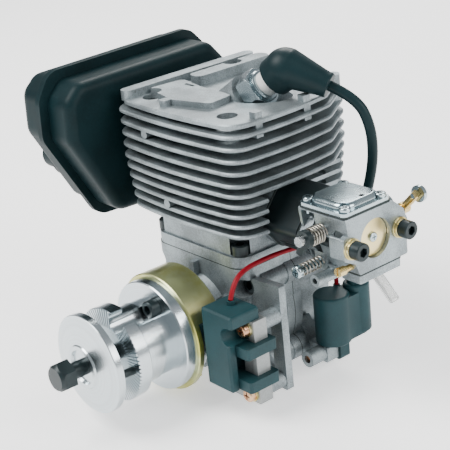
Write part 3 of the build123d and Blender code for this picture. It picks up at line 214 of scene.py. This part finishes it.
def turned(name, colour, metallic=1.0, roughness=0.24, bump=0.35, lines=6000.0):
    """Lathe-turned metal with fine rings about the crankshaft."""
    f = Finish(name, Metallic=metallic, Roughness=roughness, IOR=1.5)
    where = f.place()
    radius, along = f.about_crank(where)
    track = f.node("ShaderNodeCombineXYZ", {}, {0: radius * lines, 1: along * lines, 2: 0.0})
    rings = f.noise(track, 1.0, 2.0, 0.6)
    wide = f.noise(track, 0.22, 2.0, 0.5)
    smear = f.noise(where, 160.0, 3.0, 0.6)
    tone = f.step(rings * 0.6 + wide * 0.4, 0.3, 0.7)
    f.feed("Base Color", f.blend(tone, shade(colour, 0.90), shade(colour, 1.05)))
    f.feed("Roughness", roughness - 0.04 + 0.06 * rings + 0.05 * smear)
    f.bump(rings + wide * 0.6, bump, 0.00001)
    return f.material


def plated(name, colour, second, metallic=0.9, roughness=0.26, patch=45.0):
    """Thin plating whose tone drifts over the surface, with faint handling marks."""
    f = Finish(name, Metallic=metallic, Roughness=roughness, IOR=1.6, Coat_Weight=0.25, Coat_Roughness=0.12)
    where = f.place()
    drift = f.noise(where, patch, 4.0, 0.6)
    marks = f.noise(where, 900.0, 3.0, 0.7)
    f.feed("Base Color", f.blend(f.step(drift, 0.38, 0.62), colour + (1.0,), second + (1.0,)))
    f.feed("Roughness", roughness - 0.04 + 0.12 * marks + 0.08 * drift)
    f.bump(marks, 0.2, 0.00004)
    return f.material


def blackened(name, colour, roughness=0.34, metallic=0.35):
    """Oxide-black steel: deep tone, oily sheen, slightly paler where it is rubbed."""
    f = Finish(name, Metallic=metallic, Roughness=roughness)
    where = f.place()
    rub = f.noise(where, 260.0, 4.0, 0.65)
    fine = f.noise(where, 1800.0, 2.0, 0.5)
    worn = f.step(rub, 0.55, 0.75)
    f.feed("Base Color", f.blend(worn * 0.6, colour + (1.0,), shade(colour, 2.4)))
    f.feed("Roughness", roughness - 0.06 + 0.14 * rub + 0.06 * fine)
    f.bump(fine * 0.6 + rub * 0.4, 0.18, 0.00005)
    return f.material


def moulded(name, colour, roughness=0.45, coat=0.0, grain=1200.0, bump=0.25, lift=1.35, gloss=0.5):
    """Moulded plastic, potting resin or rubber with a fine even grain."""
    f = Finish(name, Roughness=roughness, Coat_Weight=coat, Coat_Roughness=0.2, Specular_IOR_Level=gloss)
    where = f.place()
    fine = f.noise(where, grain, 3.0, 0.55)
    cloud = f.noise(where, 60.0, 3.0, 0.5)
    tone = f.step(cloud * 0.6 + fine * 0.4, 0.35, 0.65)
    f.feed("Base Color", f.blend(tone, colour + (1.0,), shade(colour, lift)))
    f.feed("Roughness", roughness - 0.07 + 0.12 * fine + 0.08 * cloud)
    f.bump(fine * 0.7 + cloud * 0.5, bump, 0.00008)
    return f.material


def laminated(name, colour):
    """Stack of thin steel sheets seen edge-on, layered along the crankshaft."""
    f = Finish(name, Metallic=0.6, Roughness=0.5)
    where = f.place()
    _, along = f.about_crank(where)
    wave = f.node("ShaderNodeMath", {"operation": "SINE"}, {0: along * 9000.0})
    fine = f.noise(where, 1400.0, 3.0, 0.6)
    f.feed("Base Color", f.blend(wave * 0.25 + fine * 0.7, shade(colour, 0.6), shade(colour, 1.3)))
    f.feed("Roughness", 0.4 + 0.2 * fine)
    f.bump(wave * 0.5 + fine, 0.5, 0.00006)
    return f.material


def clear_hose(name):
    """Slightly cloudy see-through hose."""
    f = Finish(name, Roughness=0.12, IOR=1.4, Transmission_Weight=0.75)
    where = f.place()
    cloud = f.noise(where, 220.0, 3.0, 0.5)
    f.feed("Base Color", f.blend(cloud, (0.82, 0.83, 0.82, 1.0), (0.95, 0.95, 0.94, 1.0)))
    f.feed("Roughness", 0.1 + 0.15 * cloud)
    return f.material


FINISHES = {}


def make_finishes(sizes):
    alloy = tuple(sizes.alloy)
    dark = tuple(sizes.dark)
    FINISHES.update(
        cast=cast_alloy("cast_alloy", alloy),
        cast_fine=cast_alloy("cast_fine", tuple(c * 1.12 for c in alloy), metallic=0.85, roughness=0.33,
                             bump=0.45),
        turned=turned("turned_alloy", (0.55, 0.605, 0.63), metallic=1.0, roughness=0.2, bump=0.5),
        steel=turned("turned_steel", (0.52, 0.54, 0.54), metallic=1.0, roughness=0.22, bump=0.25),
        zinc=plated("yellow_zinc", (0.42, 0.40, 0.10), second=(0.50, 0.52, 0.26), metallic=0.95,
                    roughness=0.26, patch=40.0),
        washer=plated("washer_zinc", (0.60, 0.47, 0.16), second=(0.66, 0.58, 0.30), metallic=1.0,
                      roughness=0.22, patch=200.0),
        bright=plated("bright_zinc", (0.46, 0.54, 0.56), second=(0.32, 0.40, 0.43), metallic=1.0,
                      roughness=0.15),
        black=blackened("black_oxide", (0.006, 0.014, 0.016)),
        spring=plated("spring_steel", (0.26, 0.24, 0.20), second=(0.36, 0.34, 0.30), metallic=1.0,
                      roughness=0.22, patch=300.0),
        paint=moulded("satin_black", tuple(c * 0.34 for c in dark), roughness=0.42, coat=0.0, grain=900.0,
                      bump=0.2, lift=1.4, gloss=0.1),
        potting=moulded("potting_resin", (0.008, 0.031, 0.036), roughness=0.45, coat=0.0, grain=1300.0,
                        bump=0.35, lift=1.4, gloss=0.22),
        phenolic=moulded("phenolic", (0.002, 0.006, 0.007), roughness=0.42, coat=0.0, grain=700.0,
                         bump=0.35, lift=1.8, gloss=0.3),
        rubber=moulded("rubber", tuple(c * 0.42 for c in dark), roughness=0.40, coat=0.0, grain=1500.0,
                       bump=0.12, lift=1.3, gloss=0.15),
        gasket=moulded("gasket", (0.008, 0.014, 0.014), roughness=0.7, coat=0.0, grain=800.0, bump=0.4,
                       lift=1.7),
        red=moulded("red_sleeve", (0.19, 0.0, 0.007), roughness=0.45, coat=0.0, grain=900.0, bump=0.1,
                    lift=1.2, gloss=0.22),
        brass=plated("brass", (0.62, 0.43, 0.14), second=(0.70, 0.54, 0.24), metallic=1.0, roughness=0.2,
                     patch=90.0),
        pale_brass=plated("pale_brass", (0.74, 0.59, 0.24), second=(0.80, 0.68, 0.36), metallic=0.95,
                          roughness=0.24, patch=60.0),
        copper=plated("coppered_steel", (0.52, 0.26, 0.14), second=(0.62, 0.40, 0.24), metallic=1.0,
                      roughness=0.22, patch=120.0),
        core=laminated("core_sheets", (0.34, 0.36, 0.36)),
        ceramic=moulded("glazed_ceramic", (0.78, 0.78, 0.76), roughness=0.18, coat=0.8, grain=300.0,
                        bump=0.03, lift=1.06),
        hose=clear_hose("clear_hose"),
    )


NODE_FINISH = {
    "crankcase_front": "cast", "crankcase_rear": "cast", "crankcase_gaskets": "gasket",
    "crankcase_bolts": "black", "main_bearings": "steel", "front_seal": "rubber", "cylinder": "cast",
    "cylinder_bolts": "black", "ignition_coil": "potting", "ignition_screws": "copper",
    "magneto_box": "potting", "magneto_core": "core", "magneto_coil": "potting",
    "magneto_washers": "washer", "intake_gaskets": "gasket", "intake_insulator": "phenolic",
    "carburettor_body": "cast_fine", "carburettor_gaskets": "gasket", "pump_cover": "bright",
    "metering_cover": "cast_fine", "cover_screws": "bright", "primer_stub": "hose",
    "throttle_shaft": "steel", "throttle_plate": "brass", "throttle_lever": "bright",
    "throttle_collar": "black", "throttle_spring": "spring", "choke_shaft": "steel",
    "idle_screw": "bright", "idle_spring": "spring", "mixture_needle": "brass",
    "muffler_inner": "paint", "muffler_outer": "paint", "exhaust_gasket": "gasket",
    "muffler_bolts": "black", "crankshaft": "steel", "shaft_key": "steel", "flywheel_cup": "zinc",
    "flywheel_hub": "turned", "flywheel_magnets": "black", "prop_driver": "turned",
    "hub_bolts": "black", "drive_pin": "black", "prop_washer": "turned", "prop_bolt": "black",
    "crank_pin": "steel", "big_end_bearing": "steel", "connecting_rod": "steel",
    "small_end_bearing": "steel", "wrist_pin": "steel", "piston": "turned", "piston_rings": "steel",
}


# mesh helpers ---------------------------------------------------------------

def clear_selection():
    if bpy.context.object and bpy.context.object.mode != "OBJECT":
        bpy.ops.object.mode_set(mode="OBJECT")
    bpy.ops.object.select_all(action="DESELECT")


def only(piece):
    clear_selection()
    piece.select_set(True)
    bpy.context.view_layer.objects.active = piece


def set_material(piece, finish):
    piece.data.materials.clear()
    piece.data.materials.append(FINISHES[finish])


def body_name(node):
    return frame["nodes"][node]["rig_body"]


def copy_of(node, name):
    """A welded copy of a CAD node's mesh, as a piece of its own."""
    piece = bpy.data.objects.new(name, frame["nodes"][node].data.copy())
    bpy.context.scene.collection.objects.link(piece)
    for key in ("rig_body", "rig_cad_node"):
        if key in piece:
            del piece[key]
    only(piece)
    bpy.ops.object.mode_set(mode="EDIT")
    bpy.ops.mesh.select_all(action="SELECT")
    bpy.ops.mesh.remove_doubles(threshold=WELD)
    bpy.ops.mesh.customdata_custom_splitnormals_clear()
    bpy.ops.object.mode_set(mode="OBJECT")
    bpy.ops.object.shade_smooth_by_angle(angle=CREASE)
    return piece


def soften(piece, width):
    """Rounds the sharp edges and settles the shading."""
    only(piece)
    edge = piece.modifiers.new("edge", "BEVEL")
    edge.width = width
    edge.segments = 2
    edge.limit_method = "ANGLE"
    edge.angle_limit = BEVEL_ANGLE
    edge.use_clamp_overlap = True
    edge.harden_normals = True
    bpy.ops.object.modifier_apply(modifier=edge.name)


def separate_loose(piece, names, order):
    """Splits a piece into its loose parts, named in the order given by a key on their centres."""
    only(piece)
    bpy.ops.object.mode_set(mode="EDIT")
    bpy.ops.mesh.select_all(action="SELECT")
    bpy.ops.mesh.separate(type="LOOSE")
    bpy.ops.object.mode_set(mode="OBJECT")
    found = sorted(bpy.context.selected_objects, key=order)
    if len(found) != len(names):
        raise RuntimeError(f"{piece.name} came apart in {len(found)} parts, not {len(names)}")
    for part, name in zip(found, names):
        part.name = name
    return found


def centre(piece):
    corners = [v.co for v in piece.data.vertices]
    total = Vector()
    for corner in corners:
        total += corner
    return total / len(corners)


def spread(piece):
    """Longest side of the piece's box."""
    corners = [v.co for v in piece.data.vertices]
    return max(max(c[i] for c in corners) - min(c[i] for c in corners) for i in range(3))


def widest(piece):
    """Radius of the piece about the plug's axis through the middle of its box."""
    low, high = (Vector([f(v.co[i] for v in piece.data.vertices) for i in range(3)]) for f in (min, max))
    axis = (high + low) / 2
    way = Vector(PLUG_WAY).normalized()
    return max(((v.co - axis) - way * (v.co - axis).dot(way)).length for v in piece.data.vertices)


def finish_piece(piece, finish, body, *nodes):
    set_material(piece, finish)
    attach(piece, body)
    if nodes:
        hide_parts(*nodes)
    return piece


def at(x, y, z):
    """A point given about the crossing of crankshaft and bore, in the row's frame."""
    return Vector((x * MM, (y - REAR) * MM, z * MM))


# settings -------------------------------------------------------------------

class EngineSettings(bpy.types.PropertyGroup):
    """Sizes and colours of the finishes and fittings."""
    alloy: FloatVectorProperty(name="Cast alloy", description="Colour of the blasted castings",
                               subtype="COLOR", size=3, min=0.0, max=1.0, default=(0.255, 0.293, 0.308))
    dark: FloatVectorProperty(name="Dark parts", description="Colour of resin, rubber and black paint",
                              subtype="COLOR", size=3, min=0.0, max=1.0, default=(0.009, 0.034, 0.040))
    edge: FloatProperty(name="Edge rounding", description="Radius on machined and moulded edges",
                        default=0.00025, min=0.0, max=0.002, unit="LENGTH")
    lead: FloatProperty(name="Lead diameter", description="Thickness of the ignition lead",
                        default=0.005, min=0.002, max=0.01, unit="LENGTH")
    wire: FloatProperty(name="Wire diameter", description="Thickness of the trigger wire",
                        default=0.0024, min=0.001, max=0.005, unit="LENGTH")


class StudioSettings(bpy.types.PropertyGroup):
    """Camera, light and floor."""
    lens: FloatProperty(name="Lens", description="Focal length on a 36 mm sensor", default=104.0, min=20.0,
                        max=300.0)
    floor: FloatVectorProperty(name="Floor", description="Colour of the floor", subtype="COLOR", size=3,
                               min=0.0, max=1.0, default=(0.96, 0.96, 0.96))
    key: FloatProperty(name="Main light", description="Power of the large light", default=30.0, min=0.0)
    fill: FloatProperty(name="Fill light", description="Strength of the light from all round", default=0.50,
                        min=0.0)


class PieceOperator(bpy.types.Operator):
    """One piece or group of like pieces."""
    bl_idname = "engine.piece_base"
    bl_label = "Piece"
    bl_options = {"REGISTER", "UNDO"}

    def execute(self, context):
        self.build(context)
        return {"FINISHED"}


class ENGINE_OT_finishes(PieceOperator):
    """Make every finish and give the plain pieces theirs"""
    bl_idname = "engine.finishes"
    bl_label = "Finishes"

    def build(self, context):
        make_finishes(context.scene.engine)
        for node, finish in NODE_FINISH.items():
            set_material(frame["nodes"][node], finish)


POLISHED = {
    "carburettor_body": 0.3, "metering_cover": 0.3, "pump_cover": 0.25, "magneto_box": 0.35,
    "ignition_coil": 0.3, "intake_insulator": 0.3, "carburettor_gaskets": 0.1, "throttle_lever": 0.2,
    "magneto_core": 0.15, "magneto_coil": 0.2,
}


class ENGINE_OT_castings(PieceOperator):
    """Round the edges of the housings that show"""
    bl_idname = "engine.castings"
    bl_label = "Housings"

    def build(self, context):
        for node, width in POLISHED.items():
            piece = copy_of(node, node + "_body")
            soften(piece, width * MM)
            finish_piece(piece, NODE_FINISH[node], body_name(node), node)


class ENGINE_OT_plug(PieceOperator):
    """Spark plug: plated shell and glazed insulator"""
    bl_idname = "engine.plug"
    bl_label = "Spark plug"

    def build(self, context):
        whole = copy_of("spark_plug", "spark_plug_pieces")
        names = ("plug_shell", "plug_insulator")
        shell, insulator = separate_loose(whole, names, lambda p: -widest(p))
        soften(shell, 0.0003)
        finish_piece(shell, "bright", "engine", "spark_plug")
        finish_piece(insulator, "ceramic", "engine")


class ENGINE_OT_cap(PieceOperator):
    """Moulded rubber elbow over the plug"""
    bl_idname = "engine.cap"
    bl_label = "Plug cap"

    def build(self, context):
        piece = copy_of("plug_cap", "plug_cap_rubber")
        only(piece)
        remesh = piece.modifiers.new("skin", "REMESH")
        remesh.mode = "VOXEL"
        remesh.voxel_size = CAP_VOXEL
        bpy.ops.object.modifier_apply(modifier=remesh.name)
        smooth = piece.modifiers.new("soft", "SMOOTH")
        smooth.factor = CAP_SMOOTH_FACTOR
        smooth.iterations = CAP_SMOOTH_STEPS
        bpy.ops.object.modifier_apply(modifier=smooth.name)
        bpy.ops.object.shade_smooth()
        finish_piece(piece, "rubber", "engine", "plug_cap")


def nurbs(name, points, diameter):
    line = bpy.data.curves.new(name, "CURVE")
    line.dimensions = "3D"
    line.bevel_depth = diameter / 2
    line.bevel_resolution = 5
    line.resolution_u = 12
    line.use_fill_caps = True
    spline = line.splines.new("NURBS")
    spline.points.add(len(points) - 1)
    for point, place in zip(spline.points, points):
        point.co = (*place, 1.0)
    spline.order_u = 3
    spline.use_endpoint_u = True
    piece = bpy.data.objects.new(name, line)
    bpy.context.scene.collection.objects.link(piece)
    return piece


LEAD_ROUTE = [at(50.0, 18.5, 112.0), at(61.5, 24.0, 106.5), at(66.5, 27.0, 93.0), at(66.0, 28.0, 77.0),
              at(61.0, 28.0, 60.0), at(54.0, 27.5, 42.0), at(50.0, 27.0, 26.0), at(50.0, 27.0, 12.0)]
WIRE_ROUTE = [at(40.5, -45.0, 24.0), at(40.0, -42.0, 31.5), at(38.0, -33.0, 34.6), at(38.2, -20.0, 35.6),
              at(39.0, -6.0, 35.2), at(40.0, 8.0, 34.0), at(41.6, 18.0, 27.0), at(42.0, 21.5, 18.0),
              at(42.0, 21.5, 8.05)]


class ENGINE_OT_lead(PieceOperator):
    """Ignition lead from the coil's tower up to the plug cap"""
    bl_idname = "engine.lead"
    bl_label = "Ignition lead"

    def build(self, context):
        sizes = context.scene.engine
        route = list(reversed(LEAD_ROUTE))
        piece = nurbs("ignition_lead_cable", route, sizes.lead)
        finish_piece(piece, "rubber", "engine", "ignition_lead")


class ENGINE_OT_wire(PieceOperator):
    """Red sleeved trigger wire between the magneto box and the coil"""
    bl_idname = "engine.wire"
    bl_label = "Trigger wire"

    def build(self, context):
        sizes = context.scene.engine
        piece = nurbs("signal_wire_cable", WIRE_ROUTE, sizes.wire)
        finish_piece(piece, "red", "engine", "signal_wire")


class ENGINE_OT_carb_bolts(PieceOperator):
    """Carburettor cap screws with their plated washers"""
    bl_idname = "engine.carb_bolts"
    bl_label = "Carburettor screws"

    def build(self, context):
        whole = copy_of("carb_bolts", "carb_bolt_pieces")
        names = [f"carb_fastener_{i}" for i in range(6)]
        parts = separate_loose(whole, names, lambda p: (-spread(p), centre(p).x, centre(p).y))
        for index, part in enumerate(parts):
            soften(part, 0.0002)
            finish_piece(part, "black" if index < 2 else "washer", "engine")
        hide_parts("carb_bolts")


class ENGINE_OT_brass_bits(PieceOperator):
    """Choke arm, linkage barrel and choke disc, each with its steel screw"""
    bl_idname = "engine.brass_bits"
    bl_label = "Brass levers"

    def build(self, context):
        for node, brass, screw, metal in (
                ("choke_lever", "choke_arm_brass", "choke_arm_screw", "brass"),
                ("linkage_swivel", "swivel_barrel", "swivel_screw", "brass"),
                ("choke_plate", "choke_disc", "choke_disc_screw", "pale_brass"),
                ("throttle_plate", "throttle_disc", "throttle_disc_screw", "brass")):
            whole = copy_of(node, node + "_pieces")
            large, small = separate_loose(whole, (brass, screw), lambda p: -spread(p))
            soften(large, 0.00015)
            finish_piece(large, metal, body_name(node), node)
            finish_piece(small, "bright", body_name(node))


def look(location, target):
    return (target - location).to_track_quat("-Z", "Y").to_euler()


class ENGINE_OT_studio(PieceOperator):
    """Floor, lights and camera"""
    bl_idname = "engine.studio"
    bl_label = "Studio"

    def build(self, context):
        scene = context.scene
        studio = scene.engine_studio
        low, high = CAD_BOX
        middle = (Vector(low) + Vector(high)) / 2
        clear_selection()
        under = (middle.x, middle.y, low[2] - FLOOR_GAP)
        bpy.ops.mesh.primitive_plane_add(size=FLOOR_SIZE, location=under)
        floor = context.object
        floor.name = "studio_floor"
        floor_finish = Finish("studio_floor", Roughness=0.9, Specular_IOR_Level=0.1,
                              Emission_Strength=FLOOR_GLOW)
        floor_finish.shader.inputs["Base Color"].default_value = (*studio.floor, 1.0)
        floor_finish.shader.inputs["Emission Color"].default_value = (*studio.floor, 1.0)
        floor.data.materials.append(floor_finish.material)
        world = bpy.data.worlds.new("studio")
        scene.world = world
        world.use_nodes = True
        background = world.node_tree.nodes["Background"]
        background.inputs["Color"].default_value = SKY_TINT
        background.inputs["Strength"].default_value = studio.fill
        for name, place, size, share in LAMPS:
            lamp = bpy.data.lights.new(name, "AREA")
            lamp.energy = studio.key * share
            lamp.size = size
            lamp.color = LAMP_TINT
            light = bpy.data.objects.new(name, lamp)
            light.location = place
            light.rotation_euler = look(Vector(place), middle)
            scene.collection.objects.link(light)
        camera = bpy.data.objects.new("camera", bpy.data.cameras.new("camera"))
        turn = Matrix((CAMERA_RIGHT, CAMERA_UP, CAMERA_BACK)).transposed().to_4x4()
        camera.matrix_world = Matrix.Translation(at(*CAMERA_PLACE)) @ turn
        camera.data.lens = studio.lens
        camera.data.sensor_width = SENSOR_WIDTH
        camera.data.clip_start = 0.01
        scene.collection.objects.link(camera)
        scene.camera = camera


PIECES = (
    ENGINE_OT_finishes, ENGINE_OT_studio, ENGINE_OT_lead, ENGINE_OT_wire, ENGINE_OT_castings, ENGINE_OT_plug,
    ENGINE_OT_cap, ENGINE_OT_carb_bolts, ENGINE_OT_brass_bits,
)


class ENGINE_PT_panel(bpy.types.Panel):
    """Buttons for every piece and the studio"""
    bl_idname = "ENGINE_PT_panel"
    bl_label = "Model engine"
    bl_space_type = "VIEW_3D"
    bl_region_type = "UI"
    bl_category = "Engine"

    def draw(self, context):
        for group in (context.scene.engine, context.scene.engine_studio):
            for name in group.__annotations__:
                self.layout.prop(group, name)
        for piece in PIECES:
            self.layout.operator(piece.bl_idname)


CLASSES = (EngineSettings, StudioSettings, *PIECES, ENGINE_PT_panel)


def register():
    for made in CLASSES:
        bpy.utils.register_class(made)
    bpy.types.Scene.engine = PointerProperty(type=EngineSettings)
    bpy.types.Scene.engine_studio = PointerProperty(type=StudioSettings)


def unregister():
    del bpy.types.Scene.engine_studio
    del bpy.types.Scene.engine
    for made in reversed(CLASSES):
        bpy.utils.unregister_class(made)


def main():
    register()
    for piece in PIECES:
        area, name = piece.bl_idname.split(".")
        getattr(getattr(bpy.ops, area), name)()
    bpy.context.view_layer.update()


if __name__ == "__main__":
    main()
